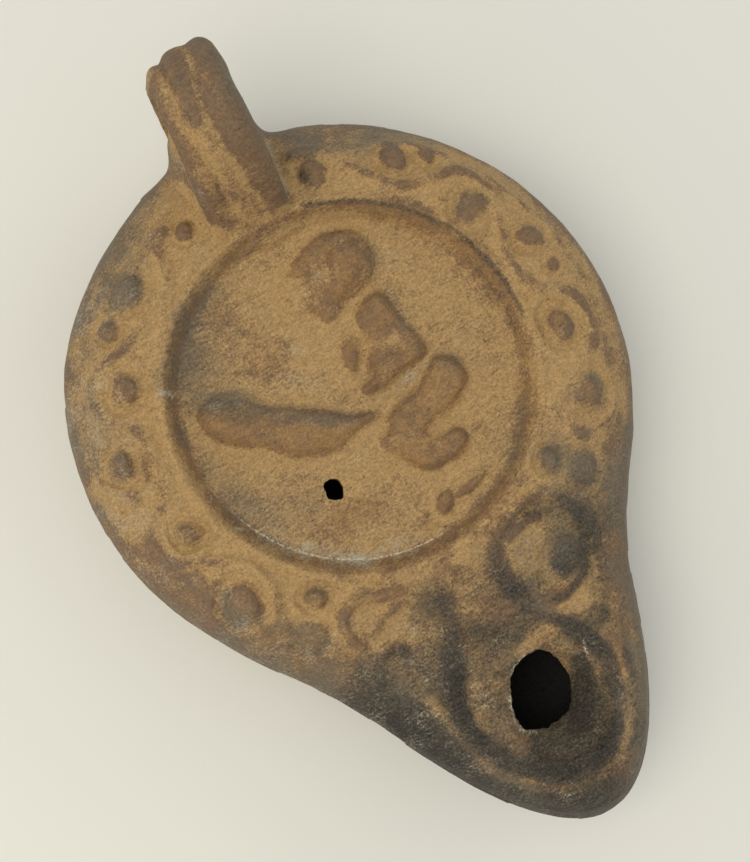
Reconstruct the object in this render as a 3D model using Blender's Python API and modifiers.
"""Roman oil lamp: a mould-made lamp of fired clay, hollow, with a ribbed strap handle.

Frame: origin at the middle of the foot, +Z up, nozzle towards -Y, handle towards +Y.
The body is one closed solid. Its outside is lofted from an outline and two height
functions, the handle is a swept strap, and the worn relief is raised on the fused clay.
"""

import math
from typing import NamedTuple

import bmesh
import bpy
import numpy as np
from mathutils import Vector
from mathutils.bvhtree import BVHTree

MM = 0.001

# ---- plan outline ----
BODY_RADIUS = 42.2 * MM
BODY_OVALITY = 0.75 * MM
OVALITY_TURN = math.radians(111)
BODY_DRIFT = 0.55 * MM
DRIFT_TURN = math.radians(45)
NOZZLE_REACH = 73.6 * MM
NOZZLE_FULLNESS = 17.6 * MM
NOZZLE_LEAN = 2.6 * MM
NOZZLE_BLEND = 9.0 * MM
NOZZLE_HALF_ANGLE = 1.45

# ---- heights of the outside ----
EDGE_HEIGHT = 19.2 * MM
EDGE_HEIGHT_TIP = EDGE_HEIGHT - 1.4 * MM
FLOOR_HEIGHT = EDGE_HEIGHT + 5.6 * MM
FLOOR_RISE = 1.3 * MM
WALL_INNER_RADIUS = 24.9 * MM
WALL_OUTER_RADIUS = 27.3 * MM
RIM_RADIUS = 27.7 * MM
RIM_BEAD_HEIGHT = 0.55 * MM
RIM_BEAD_WIDTH = 0.8 * MM
COLLAR_HEIGHT = EDGE_HEIGHT + 9.8 * MM
SHOULDER_START = 29.0 * MM
SHOULDER_FALL = 26.0
BODY_ROUNDING = 8.5 * MM
NOZZLE_ROUNDING = 6.0 * MM
NOZZLE_TOP_START = EDGE_HEIGHT + 8.6 * MM
NOZZLE_TOP_SLOPE = 0.095
NOZZLE_CROWN = 8.0
NOZZLE_TOP_BLEND = 2.5 * MM

# ---- underside ----
FOOT_RADIUS = 20.5 * MM
FOOT_HEIGHT = 0.8 * MM
FOOT_GROOVE_RADIUS = 17.6 * MM
FOOT_GROOVE_WIDTH = 1.2 * MM
FOOT_GROOVE_DEPTH = 0.6 * MM
CUT_ALLOWANCE = 1.2 * MM

# ---- inside ----
WALL_THICKNESS = 3.2 * MM
DISCUS_THICKNESS = 3.2 * MM
CHAMBER_FLOOR = 3.4 * MM
CHAMBER_SIDES = 48
CHAMBER_SHARES = (0.25, 0.5, 0.7, 0.8, 0.88, 0.95)
CHAMBER_LEAST_RISE = 1.2 * MM

# ---- openings ----
WICK_CENTRE = (-0.5 * MM, -51.8 * MM)
WICK_HALF_WIDTH = 4.9 * MM
WICK_HALF_LENGTH = 5.4 * MM
WICK_CUT_LOW = EDGE_HEIGHT - 2.0 * MM
WICK_CUT_HIGH = EDGE_HEIGHT + 9.0 * MM
WICK_DISH_CENTRE = (1.2 * MM, -56.0 * MM)
WICK_DISH_RADIUS = 8.0 * MM
WICK_DISH_DEPTH = 3.0 * MM
FILLING_CENTRE = (-9.9 * MM, -11.2 * MM)
FILLING_RADIUS = 1.55 * MM

# ---- handle ----
HANDLE_WIDTH = 13.2 * MM
HANDLE_FACE_SHARE = 0.9
HANDLE_THICKNESS = 4.8 * MM
HANDLE_LEAN_START = (26.0 * MM, 0.5 * MM)
HANDLE_LEAN_END = (47.0 * MM, 2.8 * MM)
HANDLE_CREST_SHARE = 0.94
HANDLE_ROOT_FLARE = 0.2
HANDLE_LEG_TAPER = 0.16
HANDLE_FOOT_FLARE = 0.3
RIB_HEIGHT = 1.5 * MM
LUG_HALF_WIDTH = 4.9 * MM
LUG_FLARE = 3.0 * MM
LUG_FLARE_UP = (-1.0 * MM, 7.0 * MM)
LUG_FLARE_LEAN = 0.9 * MM
LUG_INSET = 0.92
FINGER_HOLE_CENTRE = (44.1 * MM, EDGE_HEIGHT + 13.6 * MM)
FINGER_HOLE_HALF_WIDTH = 3.0 * MM
FINGER_HOLE_HALF_HEIGHT = 3.7 * MM

# ---- relief ----
BOSS_HEIGHT = 1.1 * MM
FIGURE_BLEND_POWER = 2.5

# ---- mesh fineness ----
LOFT_SIDES = 240
FUSE_VOXEL = 0.6 * MM
SMOOTHING_PASSES = 4
FILLET_REACH = 4.5 * MM
FILLET_PASSES = 42
OUTSIDE_TRIANGLES = 7700


class Boss(NamedTuple):
    """A round berry on the shoulder, placed by its angle and its distance from the middle."""

    angle_deg: float
    reach_mm: float
    radius_mm: float


class Mass(NamedTuple):
    """A soft worn lump of the discus figure: an ellipse with its own turn and height."""

    x_mm: float
    y_mm: float
    half_length_mm: float
    half_width_mm: float
    turn_deg: float
    height_mm: float


class Ridge(NamedTuple):
    """A raised line that follows a smooth curve through a few points."""

    width_mm: float
    height_mm: float
    points_mm: tuple


class Rib(NamedTuple):
    """A long rib on the strap: middle and width as shares of half the strap, height as a share."""

    middle: float
    width: float
    share: float


RIBS = (Rib(-0.86, 0.13, 0.62), Rib(-0.26, 0.29, 1.45), Rib(0.57, 0.36, 1.2))

BOSSES = (
    Boss(67.5, 32.1, 2.0),
    Boss(47.1, 34.5, 2.1),
    Boss(39.7, 36.0, 1.4),
    Boss(24.5, 31.9, 2.7),
    Boss(8.0, 34.5, 2.4),
    Boss(-0.8, 34.8, 1.3),
    Boss(-15.7, 31.5, 2.4),
    Boss(-33.4, 35.1, 3.1),
    Boss(-52.9, 30.5, 1.8),
    Boss(-51.6, 35.7, 2.1),
    Boss(104.9, 33.1, 1.5),
    Boss(125.0, 35.2, 2.5),
    Boss(134.8, 36.2, 1.6),
    Boss(148.7, 32.8, 2.4),
    Boss(167.2, 35.1, 2.0),
    Boss(174.9, 35.8, 1.5),
    Boss(189.8, 31.7, 1.9),
    Boss(211.0, 35.0, 2.9),
    Boss(227.6, 30.9, 1.8),
    Boss(228.2, 36.5, 2.3),
    Boss(-70.8, 40.2, 3.0),
)

FIGURE = (
    Mass(-17.5, 6.0, 4.6, 4.0, -25, 1.5),
    Mass(-12.5, 1.6, 5.4, 3.7, -42, 1.4),
    Mass(-7.0, -2.6, 5.6, 3.0, -30, 1.2),
    Mass(-1.8, -5.2, 4.2, 2.1, -12, 1.0),
    Mass(8.6, 17.4, 5.8, 4.6, 12, 1.4),
    Mass(2.0, 17.0, 2.2, 2.4, 60, 0.8),
    Mass(4.6, 12.2, 3.6, 2.6, 60, 1.0),
    Mass(8.4, 4.4, 6.2, 4.6, 82, 1.5),
    Mass(2.4, 4.4, 2.8, 1.7, 65, 1.1),
    Mass(8.2, -7.0, 7.4, 3.2, 6, 1.6),
    Mass(2.6, -11.6, 3.8, 2.8, 75, 1.1),
    Mass(7.4, -14.6, 3.6, 2.2, 5, 1.0),
    Mass(5.0, -17.8, 2.4, 1.8, 60, 0.6),
    Mass(3.0, -21.6, 2.6, 1.4, 20, 0.7),
    Mass(9.0, -20.8, 3.2, 0.9, -6, 0.5),
    Mass(-1.9, -22.0, 1.6, 0.7, 62, 0.5),
)

RIDGES = (
    Ridge(2.6, 0.9, ((-8, -29.6), (-5.6, -32.5), (-7.4, -38), (-10.8, -45), (-12.2, -52), (-9.8, -58.2),
                     (-5, -63.4), (0, -65), (5.5, -63.2), (8.8, -58.6), (10, -53), (8.6, -46.5),
                     (5.2, -41), (3.4, -36), (4.2, -31.6), (7, -29.2))),
    Ridge(2.8, 0.7, ((-20.4, -39), (-18.4, -46.5), (-16, -54.5), (-11.6, -62), (-5.5, -67.6), (0, -69),
                     (5.5, -67), (10.8, -60.8), (13.6, -53), (15.6, -46))),
    Ridge(1.8, 0.9, ((-8, -29.8), (-12, -27.7), (-16.5, -26.8), (-19.7, -28.6), (-19.6, -31.2), (-17.8, -33.6))),
    Ridge(1.5, 0.7, ((-9.5, -30), (-13.5, -30.4), (-16.5, -31.2), (-18.8, -30.2))),
    Ridge(2.0, 0.8, ((-20, -39.5), (-18.8, -36.4), (-16.3, -34.8), (-14.2, -35.6), (-13.4, -37.6))),
    Ridge(1.9, 0.9, ((4.5, -30), (8.5, -28.3), (12.5, -27.6), (16, -28.8), (17.6, -31.8), (17, -35.5))),
    Ridge(1.5, 0.7, ((6, -31), (9.5, -30), (12.4, -30.4), (13.6, -32))),
    Ridge(1.9, 0.8, ((3.8, -36), (4.8, -39.4), (7.4, -42.2), (10.6, -43.8), (14, -43.6), (16.8, -41.2))),
    Ridge(0.9, 0.5, ((-3.0, -31.3), (-1.4, -29.8), (0.2, -31.3), (-1.4, -32.9), (-3.0, -31.3))),
)

# How far back, and how far above the widest edge, the middle line of the strap runs.
HANDLE_ROUTE_MM = ((25.5, 1.9), (30.0, 9.0), (34.8, 16.2), (39.6, 21.4), (44.6, 23.0), (49.0, 20.4),
                   (50.3, 14.8), (48.8, 7.8), (44.4, 1.0), (38.0, -4.6))


# ---------------------------------------------------------------- outline and heights


def smooth_max(a, b, reach):
    """The larger of two values, rounded where they cross."""
    near = np.clip(reach - np.abs(a - b), 0, None) / reach
    return np.maximum(a, b) + near * near * reach / 4


def smooth_step(low, high, value):
    """0 below low, 1 above high, and an S curve between them."""
    t = np.clip((value - low) / (high - low), 0, 1)
    return t * t * (3 - 2 * t)


def outline(angle):
    """Distance from the middle to the widest edge, for an angle measured from +X."""
    body = BODY_RADIUS + BODY_OVALITY * np.cos(2 * angle + OVALITY_TURN)
    body = body + BODY_DRIFT * np.cos(angle + DRIFT_TURN)
    off_axis = (angle + math.pi / 2 + math.pi) % (2 * math.pi) - math.pi
    off_axis = np.clip(off_axis, -NOZZLE_HALF_ANGLE, NOZZLE_HALF_ANGLE)
    across, along = np.sin(off_axis), np.cos(off_axis)
    fullness = NOZZLE_FULLNESS - NOZZLE_LEAN * np.clip(across, 0, None)
    root = np.sqrt((fullness * along) ** 2 + 4 * fullness * NOZZLE_REACH * across**2)
    nozzle = 2 * fullness * NOZZLE_REACH / (fullness * along + root)
    return smooth_max(body, nozzle, NOZZLE_BLEND)


def edge_distance(x, y):
    """How far inside the widest edge a point lies, measured square to the edge."""
    angle = np.arctan2(y, x)
    step = 0.01
    reach = outline(angle)
    slope = (outline(angle + step) - outline(angle - step)) / (2 * step)
    return (reach - np.hypot(x, y)) * reach / np.hypot(reach, slope)


def nozzle_share(angle):
    """0 on the round body and 1 at the nozzle's tip."""
    return np.clip((outline(angle) - BODY_RADIUS - 1.5 * MM) / (NOZZLE_REACH - BODY_RADIUS), 0, 1)


def edge_height(angle):
    """Height of the widest edge, which sinks a little towards the tip."""
    return EDGE_HEIGHT + (EDGE_HEIGHT_TIP - EDGE_HEIGHT) * nozzle_share(angle)


def top_plateau(x, y):
    """The upper surface before its outer edge is rounded off."""
    r = np.hypot(x, y)
    floor = FLOOR_HEIGHT + FLOOR_RISE * (r / WALL_INNER_RADIUS) ** 4
    shoulder = COLLAR_HEIGHT - SHOULDER_FALL * np.clip(r - SHOULDER_START, 0, None) ** 2
    nozzle_top = NOZZLE_TOP_START - NOZZLE_TOP_SLOPE * (-y - SHOULDER_START) - NOZZLE_CROWN * x**2
    nozzle_top = np.where(y < 0, nozzle_top, -1.0)
    outer = smooth_max(shoulder, nozzle_top, NOZZLE_TOP_BLEND)
    outer = np.where(r > SHOULDER_START, outer, COLLAR_HEIGHT)
    wall = smooth_step(WALL_INNER_RADIUS, WALL_OUTER_RADIUS, r)
    bead = RIM_BEAD_HEIGHT * np.exp(-(((r - RIM_RADIUS) / RIM_BEAD_WIDTH) ** 2))
    inner = np.minimum(floor, FLOOR_HEIGHT + FLOOR_RISE)
    return inner + (outer - inner) * wall + bead


def wick_dish(x, y):
    """Depth of the hollow that leads down to the wick hole."""
    d = np.hypot(x - WICK_DISH_CENTRE[0], y - WICK_DISH_CENTRE[1]) / WICK_DISH_RADIUS
    return WICK_DISH_DEPTH * np.clip(1 - d * d, 0, 1)


def top_height(x, y):
    """Height of the plain upper surface, without relief."""
    angle = np.arctan2(y, x)
    rounding = BODY_ROUNDING + (NOZZLE_ROUNDING - BODY_ROUNDING) * smooth_step(0, 0.35, nozzle_share(angle))
    inward = np.clip(edge_distance(x, y) / rounding, 0, 1)
    arch = np.sqrt(np.clip(1 - (1 - inward) ** 2, 0, 1))
    low = edge_height(angle)
    return low + (top_plateau(x, y) - low) * arch - wick_dish(x, y)


def under_height(x, y):
    """Height of the underside: a flat foot, then a bowl that is keeled under the nozzle."""
    angle = np.arctan2(y, x)
    reach = outline(angle)
    r = np.hypot(x, y)
    out = np.clip((r - FOOT_RADIUS) / (reach - FOOT_RADIUS), 0, 1)
    bowl = 1 - np.sqrt(np.clip(1 - out**2, 0, 1))
    keel = 0.45 * bowl + 0.55 * out**1.4
    share = smooth_step(0, 0.6, nozzle_share(angle))
    rise = bowl + (keel - bowl) * share
    step = FOOT_HEIGHT * smooth_step(FOOT_RADIUS, FOOT_RADIUS + FOOT_HEIGHT, r)
    return step + (edge_height(angle) - FOOT_HEIGHT) * rise


# ---------------------------------------------------------------- relief


def curve_through(points, steps=10):
    """Points along a smooth curve that passes through the given ones."""
    ends = [2 * points[0] - points[1], *points, 2 * points[-1] - points[-2]]
    made = []
    for before, start, end, after in zip(ends, ends[1:], ends[2:], ends[3:]):
        for t in np.linspace(0, 1, steps, endpoint=False):
            bend = 2 * before - 5 * start + 4 * end - after
            twist = -before + 3 * start - 3 * end + after
            made.append(start + 0.5 * (t * (end - before) + t * t * bend + t**3 * twist))
    made.append(points[-1])
    return np.array(made)


def distance_to_line(x, y, line):
    """Distance from each point to a chain of straight runs."""
    best = np.full(x.shape, 1.0)
    for start, end in zip(line, line[1:]):
        run = end - start
        share = np.clip(((x - start[0]) * run[0] + (y - start[1]) * run[1]) / (run @ run), 0, 1)
        gap = np.hypot(x - start[0] - share * run[0], y - start[1] - share * run[1])
        best = np.minimum(best, gap)
    return best


def rounded_line(gap, width, height):
    """Height of a ridge with a round top, at a distance from its middle line."""
    return height * np.exp(-((2 * gap / width) ** 2))


def boss_relief(x, y):
    """The berries of the scroll, as low domes."""
    raised = np.zeros(x.shape)
    for boss in BOSSES:
        angle = math.radians(boss.angle_deg)
        centre = (boss.reach_mm * MM * math.cos(angle), boss.reach_mm * MM * math.sin(angle))
        d = np.hypot(x - centre[0], y - centre[1]) / (boss.radius_mm * MM)
        raised = np.maximum(raised, BOSS_HEIGHT * np.clip(1.25 - 1.25 * d**2, 0, 1) ** 0.7)
    return raised


def figure_relief(x, y):
    """The worn discus scene: a crouching figure beside a long club-like form."""
    raised = np.zeros(x.shape)
    for mass in FIGURE:
        turn = math.radians(mass.turn_deg)
        dx, dy = x - mass.x_mm * MM, y - mass.y_mm * MM
        along = (dx * math.cos(turn) + dy * math.sin(turn)) / (mass.half_length_mm * MM)
        across = (dy * math.cos(turn) - dx * math.sin(turn)) / (mass.half_width_mm * MM)
        dome = np.clip(1 - (along**2 + across**2) ** 1.1, 0, 1) * mass.height_mm * MM
        raised += dome**FIGURE_BLEND_POWER
    return raised ** (1 / FIGURE_BLEND_POWER)


def relief(x, y):
    """Everything that the mould raised above the plain upper surface."""
    raised = boss_relief(x, y)
    for ridge in RIDGES:
        line = curve_through([np.array(p) * MM for p in ridge.points_mm])
        gap = distance_to_line(x, y, line)
        raised = np.maximum(raised, rounded_line(gap, ridge.width_mm * MM, ridge.height_mm * MM))
    return np.where(np.hypot(x, y) < WALL_INNER_RADIUS, figure_relief(x, y), raised)


# ---------------------------------------------------------------- mesh tools


def new_object(name, mesh, collection):
    """Puts a mesh in a collection as a named object."""
    made = bpy.data.objects.new(name, mesh)
    collection.objects.link(made)
    return made


def loft(name, rings, collection):
    """Closes a stack of rings, first and last to a point in their own middle."""
    bm = bmesh.new()
    loops = [[bm.verts.new(p) for p in ring] for ring in rings]
    for lower, upper in zip(loops, loops[1:]):
        for i in range(len(lower)):
            j = (i + 1) % len(lower)
            bm.faces.new((lower[i], lower[j], upper[j], upper[i]))
    for loop in (loops[0], loops[-1]):
        centre = bm.verts.new(sum((v.co for v in loop), Vector()) / len(loop))
        for i in range(len(loop)):
            bm.faces.new((loop[i], loop[(i + 1) % len(loop)], centre))
    bmesh.ops.recalc_face_normals(bm, faces=bm.faces)
    mesh = bpy.data.meshes.new(name)
    bm.to_mesh(mesh)
    bm.free()
    return new_object(name, mesh, collection)


def ring_points(radii, angles, height):
    """One ring of points at the given radii, with its heights from a height function."""
    x, y = radii * np.cos(angles), radii * np.sin(angles)
    return [Vector(p) for p in zip(x, y, height(x, y))]


def evaluated_mesh(source):
    """The object's mesh with its modifiers applied."""
    graph = bpy.context.evaluated_depsgraph_get()
    graph.update()
    return bpy.data.meshes.new_from_object(source.evaluated_get(graph))


def apply_modifiers(target):
    """Replaces an object's mesh by its modified one."""
    mesh = evaluated_mesh(target)
    target.modifiers.clear()
    target.data = mesh


def add_boolean(target, other, operation):
    """Adds an exact Boolean with another object."""
    modifier = target.modifiers.new(other.name, "BOOLEAN")
    modifier.operation = operation
    modifier.solver = "EXACT"
    modifier.object = other


def take_active(name, collection):
    """Moves the primitive that was just made into a collection as a named cutter."""
    made = bpy.context.active_object
    for owner in list(made.users_collection):
        owner.objects.unlink(made)
    collection.objects.link(made)
    made.name = name
    mark_cutter(made)
    return made


def mark_cutter(cutter):
    """Shows a helper as wires and keeps it out of renders."""
    cutter.hide_render = True
    cutter.display_type = "WIRE"


def vertex_array(mesh):
    """The mesh's points as an array of rows."""
    flat = np.zeros(len(mesh.vertices) * 3)
    mesh.vertices.foreach_get("co", flat)
    return flat.reshape(-1, 3)


# ---------------------------------------------------------------- the lamp


def outer_body(collection):
    """The moulded body, filled and without its handle, lofted from foot to discus."""
    angles = np.linspace(0, 2 * math.pi, LOFT_SIDES, endpoint=False)
    reach = outline(angles)
    rings = []
    for radius in np.linspace(0.2, 1.0, 5) * FOOT_RADIUS:
        rings.append([Vector((radius * math.cos(a), radius * math.sin(a), -CUT_ALLOWANCE)) for a in angles])
    for share in 1 - (1 - np.linspace(0.0, 0.97, 22)) ** 1.6:
        rings.append(ring_points(FOOT_RADIUS + (reach - FOOT_RADIUS) * share, angles, under_height))
    for share in (1 - np.linspace(0.0, 1.0, 26)) ** 1.6:
        rings.append(ring_points(SHOULDER_START + (reach - SHOULDER_START) * share, angles, top_height))
    for radius in np.linspace(SHOULDER_START - 0.5 * MM, WALL_INNER_RADIUS, 10):
        rings.append(ring_points(np.full(angles.shape, radius), angles, top_height))
    for radius in np.linspace(WALL_INNER_RADIUS, 2 * MM, 14)[1:]:
        rings.append(ring_points(np.full(angles.shape, radius), angles, top_height))
    return loft("outer_body", rings, collection)


def handle_section():
    """Closed outline of the strap: flat below, sloping sides and three ribs above."""
    half = HANDLE_WIDTH / 2
    upper = []
    for t in np.linspace(-1, 1, 41):
        crown = (0.42 + 0.12 * t) * (1 - abs(t) ** 7) * HANDLE_THICKNESS
        raised = sum(rib.share * math.exp(-(((t - rib.middle) / rib.width) ** 4)) for rib in RIBS)
        upper.append((t * half * HANDLE_FACE_SHARE, crown + RIB_HEIGHT * raised))
    lower = []
    for t in np.linspace(1, -1, 11):
        depth = 0.1 + 0.18 * (1 - t**6)
        lower.append((0.975 * t * half, -depth * HANDLE_THICKNESS))
    return upper + lower


def poly_curve(name, points, collection, closed):
    """A curve object made of straight runs through the points."""
    data = bpy.data.curves.new(name, "CURVE")
    data.dimensions = "3D"
    spline = data.splines.new("POLY")
    spline.points.add(len(points) - 1)
    for slot, point in zip(spline.points, points):
        slot.co = (*point, 1.0)
    spline.use_cyclic_u = closed
    return new_object(name, data, collection)


def handle_route():
    """Points down the middle of the strap, from inside the rim to inside the back."""
    line = curve_through([np.array(p) * MM for p in HANDLE_ROUTE_MM], 5)
    line[:, 1] += EDGE_HEIGHT
    return line


def handle_lean(back):
    """Sideways place of the handle's middle, which leans to one side as it goes back."""
    (start, x_start), (end, x_end) = HANDLE_LEAN_START, HANDLE_LEAN_END
    return x_start + (x_end - x_start) * np.clip((back - start) / (end - start), 0, 1)


def strap(collection):
    """The ribbed strap, swept up from the rim and down to the back of the body."""
    section = poly_curve("strap_section", [(u, v, 0) for u, v in handle_section()], collection, True)
    route = handle_route()
    lean = np.maximum.accumulate(handle_lean(route[:, 0]))
    path = poly_curve("strap_path", [(x, y, z) for x, (y, z) in zip(lean, route)], collection, False)
    for slot, t in zip(path.data.splines[0].points, np.linspace(0, 1, len(route))):
        root = HANDLE_ROOT_FLARE * max(0, 1 - t / 0.45) ** 2
        leg = HANDLE_LEG_TAPER * float(smooth_step(0.5, 0.75, t))
        foot = HANDLE_FOOT_FLARE * float(smooth_step(0.82, 0.98, t))
        slot.radius = HANDLE_CREST_SHARE + root - leg + foot
    path.data.bevel_mode = "OBJECT"
    path.data.bevel_object = section
    path.data.use_fill_caps = True
    mesh = evaluated_mesh(path)
    bm = bmesh.new()
    bm.from_mesh(mesh)
    bmesh.ops.remove_doubles(bm, verts=bm.verts, dist=0.01 * MM)
    bmesh.ops.recalc_face_normals(bm, faces=bm.faces)
    bm.to_mesh(mesh)
    bm.free()
    made = new_object("strap", mesh, collection)
    made.matrix_world = path.matrix_world
    bpy.data.objects.remove(path)
    bpy.data.objects.remove(section)
    return made


def lug(collection):
    """The clay under the strap: a web that widens as it meets the body."""
    y, z = handle_route().T
    low = 1 - smooth_step(*LUG_FLARE_UP, z - EDGE_HEIGHT)
    half = LUG_HALF_WIDTH + LUG_FLARE * low
    rings = []
    for side in np.linspace(-1, 1, 7):
        drawn_in = LUG_INSET - 0.06 * abs(side) ** 3
        middle_y, middle_z = y.mean(), z.mean()
        x = handle_lean(y) + LUG_FLARE_LEAN * low + side * half
        rings.append([Vector(p) for p in zip(x, middle_y + (y - middle_y) * drawn_in,
                                             middle_z + (z - middle_z) * drawn_in)])
    return loft("lug", rings, collection)


def finger_hole(collection):
    """Pierces the lug from side to side."""
    bpy.ops.mesh.primitive_cylinder_add(vertices=32, radius=1.0, depth=1.0, rotation=(0, math.pi / 2, 0))
    cutter = take_active("finger_hole", collection)
    cutter.scale = (FINGER_HOLE_HALF_HEIGHT, FINGER_HOLE_HALF_WIDTH, 4 * HANDLE_WIDTH)
    cutter.location = (HANDLE_LEAN_END[1], *FINGER_HOLE_CENTRE)
    return cutter


def gap_to(points, parts):
    """Distance from each point to the nearest of some objects."""
    graph = bpy.context.evaluated_depsgraph_get()
    trees = [BVHTree.FromObject(part, graph) for part in parts]
    return np.array([min(tree.find_nearest(Vector(p))[3] for tree in trees) for p in points])


def relax(mesh, weight, passes):
    """Moves each point towards the middle of its neighbours, as far as its weight allows."""
    points = vertex_array(mesh)
    edges = np.zeros(len(mesh.edges) * 2, np.int32)
    mesh.edges.foreach_get("vertices", edges)
    a, b = edges.reshape(-1, 2).T
    count = np.bincount(a, minlength=len(points)) + np.bincount(b, minlength=len(points))
    for _ in range(passes):
        total = np.zeros_like(points)
        np.add.at(total, a, points[b])
        np.add.at(total, b, points[a])
        points += 0.6 * weight[:, None] * (total / count[:, None] - points)
    mesh.vertices.foreach_set("co", points.ravel())
    mesh.update()


def soften_join(mesh, body, handle_parts):
    """Rounds the corners where the handle meets the body, as wet clay is smoothed."""
    points = vertex_array(mesh)
    weight = 1 - smooth_step(0.4 * FILLET_REACH, FILLET_REACH, gap_to(points, [body]))
    weight *= 1 - smooth_step(0.4 * FILLET_REACH, FILLET_REACH, gap_to(points, handle_parts))
    relax(mesh, weight, FILLET_PASSES)


def raise_relief(mesh):
    """Lifts the upper surface by the relief, and leaves the handle alone."""
    points = vertex_array(mesh)
    x, y, z = points.T
    on_top = 1 - smooth_step(0.5 * MM, 1.3 * MM, np.abs(z - top_height(x, y)))
    inside = smooth_step(1.0 * MM, 3.0 * MM, edge_distance(x, y))
    points[:, 2] += relief(x, y) * on_top * inside
    mesh.vertices.foreach_set("co", points.ravel())
    mesh.update()


def ceiling_height(x, y):
    """Underside of the top wall inside the hollow, which is lower below the discus."""
    below_top = top_height(x, y) - WALL_THICKNESS
    below_discus = np.minimum(below_top, FLOOR_HEIGHT - DISCUS_THICKNESS)
    outward = smooth_step(WALL_OUTER_RADIUS, WALL_OUTER_RADIUS + WALL_THICKNESS, np.hypot(x, y))
    return below_discus + (below_top - below_discus) * outward


def floor_height(x, y):
    """Upper side of the bottom wall inside the hollow."""
    return np.maximum(under_height(x, y) + WALL_THICKNESS, CHAMBER_FLOOR)


def chamber(collection):
    """The hollow inside: the outside drawn in by the thickness of the wall."""
    angles = np.linspace(0, 2 * math.pi, CHAMBER_SIDES, endpoint=False)
    reach = outline(angles) - WALL_THICKNESS * (1 + 0.35 * nozzle_share(angles))
    middle = edge_height(angles)

    def low(x, y):
        return np.minimum(floor_height(x, y), middle - CHAMBER_LEAST_RISE)

    def high(x, y):
        return np.maximum(ceiling_height(x, y), middle + CHAMBER_LEAST_RISE)

    rings = [ring_points(reach * share, angles, low) for share in CHAMBER_SHARES]
    rings.append(ring_points(reach, angles, lambda x, y: middle))
    rings += [ring_points(reach * share, angles, high) for share in reversed(CHAMBER_SHARES)]
    made = loft("chamber", rings, collection)
    mark_cutter(made)
    return made


def wick_cutter(collection):
    """Cuts the wick hole, which widens below so that its rim is thin."""
    bpy.ops.mesh.primitive_cone_add(vertices=28, radius1=1.2, radius2=1.0, depth=1.0)
    cutter = take_active("wick_hole", collection)
    cutter.location = (*WICK_CENTRE, (WICK_CUT_LOW + WICK_CUT_HIGH) / 2)
    cutter.scale = (WICK_HALF_WIDTH, WICK_HALF_LENGTH, WICK_CUT_HIGH - WICK_CUT_LOW)
    return cutter


def filling_cutter(collection):
    """Cuts the small filling hole through the discus."""
    bpy.ops.mesh.primitive_cylinder_add(vertices=14, radius=FILLING_RADIUS, depth=FLOOR_HEIGHT)
    cutter = take_active("filling_hole", collection)
    cutter.location = (*FILLING_CENTRE, FLOOR_HEIGHT)
    return cutter


def foot_cutter(collection):
    """Trims the foot flat at the height the lamp stands on."""
    bpy.ops.mesh.primitive_cube_add(size=1.0)
    cutter = take_active("foot_trim", collection)
    cutter.scale = (4 * FOOT_RADIUS, 4 * FOOT_RADIUS, 4 * CUT_ALLOWANCE)
    cutter.location = (0, 0, -2 * CUT_ALLOWANCE)
    return cutter


def groove_cutter(collection):
    """Cuts the turned groove that frames the foot."""
    radius = FOOT_GROOVE_WIDTH / 2
    bpy.ops.mesh.primitive_torus_add(
        major_radius=FOOT_GROOVE_RADIUS, minor_radius=radius, major_segments=48, minor_segments=8
    )
    cutter = take_active("foot_groove", collection)
    cutter.location = (0, 0, FOOT_GROOVE_DEPTH - radius)
    return cutter


def clay():
    """Fired clay: warm brown, rough and not metallic."""
    material = bpy.data.materials.new("fired_clay")
    material.use_nodes = True
    shader = material.node_tree.nodes["Principled BSDF"]
    shader.inputs["Base Color"].default_value = (0.27, 0.17, 0.09, 1.0)
    shader.inputs["Roughness"].default_value = 0.72
    shader.inputs["Metallic"].default_value = 0.0
    return material


def main():
    for old in list(bpy.data.objects):
        bpy.data.objects.remove(old)
    lamp_collection = bpy.data.collections.new("roman_oil_lamp")
    cutters = bpy.data.collections.new("cutters")
    for collection in (lamp_collection, cutters):
        bpy.context.scene.collection.children.link(collection)

    body = outer_body(cutters)
    handle_parts = [strap(cutters), lug(cutters)]
    lamp = new_object("lamp", body.data.copy(), lamp_collection)
    for piece in handle_parts:
        add_boolean(lamp, piece, "UNION")
    add_boolean(lamp, finger_hole(cutters), "DIFFERENCE")
    fuse = lamp.modifiers.new("fuse", "REMESH")
    fuse.mode = "VOXEL"
    fuse.voxel_size = FUSE_VOXEL
    apply_modifiers(lamp)
    relax(lamp.data, np.ones(len(lamp.data.vertices)), SMOOTHING_PASSES)
    soften_join(lamp.data, body, handle_parts)
    raise_relief(lamp.data)
    lamp.data.materials.clear()
    lamp.data.materials.append(clay())
    thin = lamp.modifiers.new("thin", "DECIMATE")
    thin.ratio = OUTSIDE_TRIANGLES / (2 * len(lamp.data.polygons))
    thin.use_collapse_triangulate = True
    apply_modifiers(lamp)
    for used in (body, *handle_parts, bpy.data.objects["finger_hole"]):
        bpy.data.objects.remove(used)
    for make_cutter in (foot_cutter, chamber, groove_cutter, wick_cutter, filling_cutter):
        add_boolean(lamp, make_cutter(cutters), "DIFFERENCE")
    lamp.data.shade_smooth()
    lamp.data.set_sharp_from_angle(angle=math.radians(35))


if __name__ == "__main__":
    main()
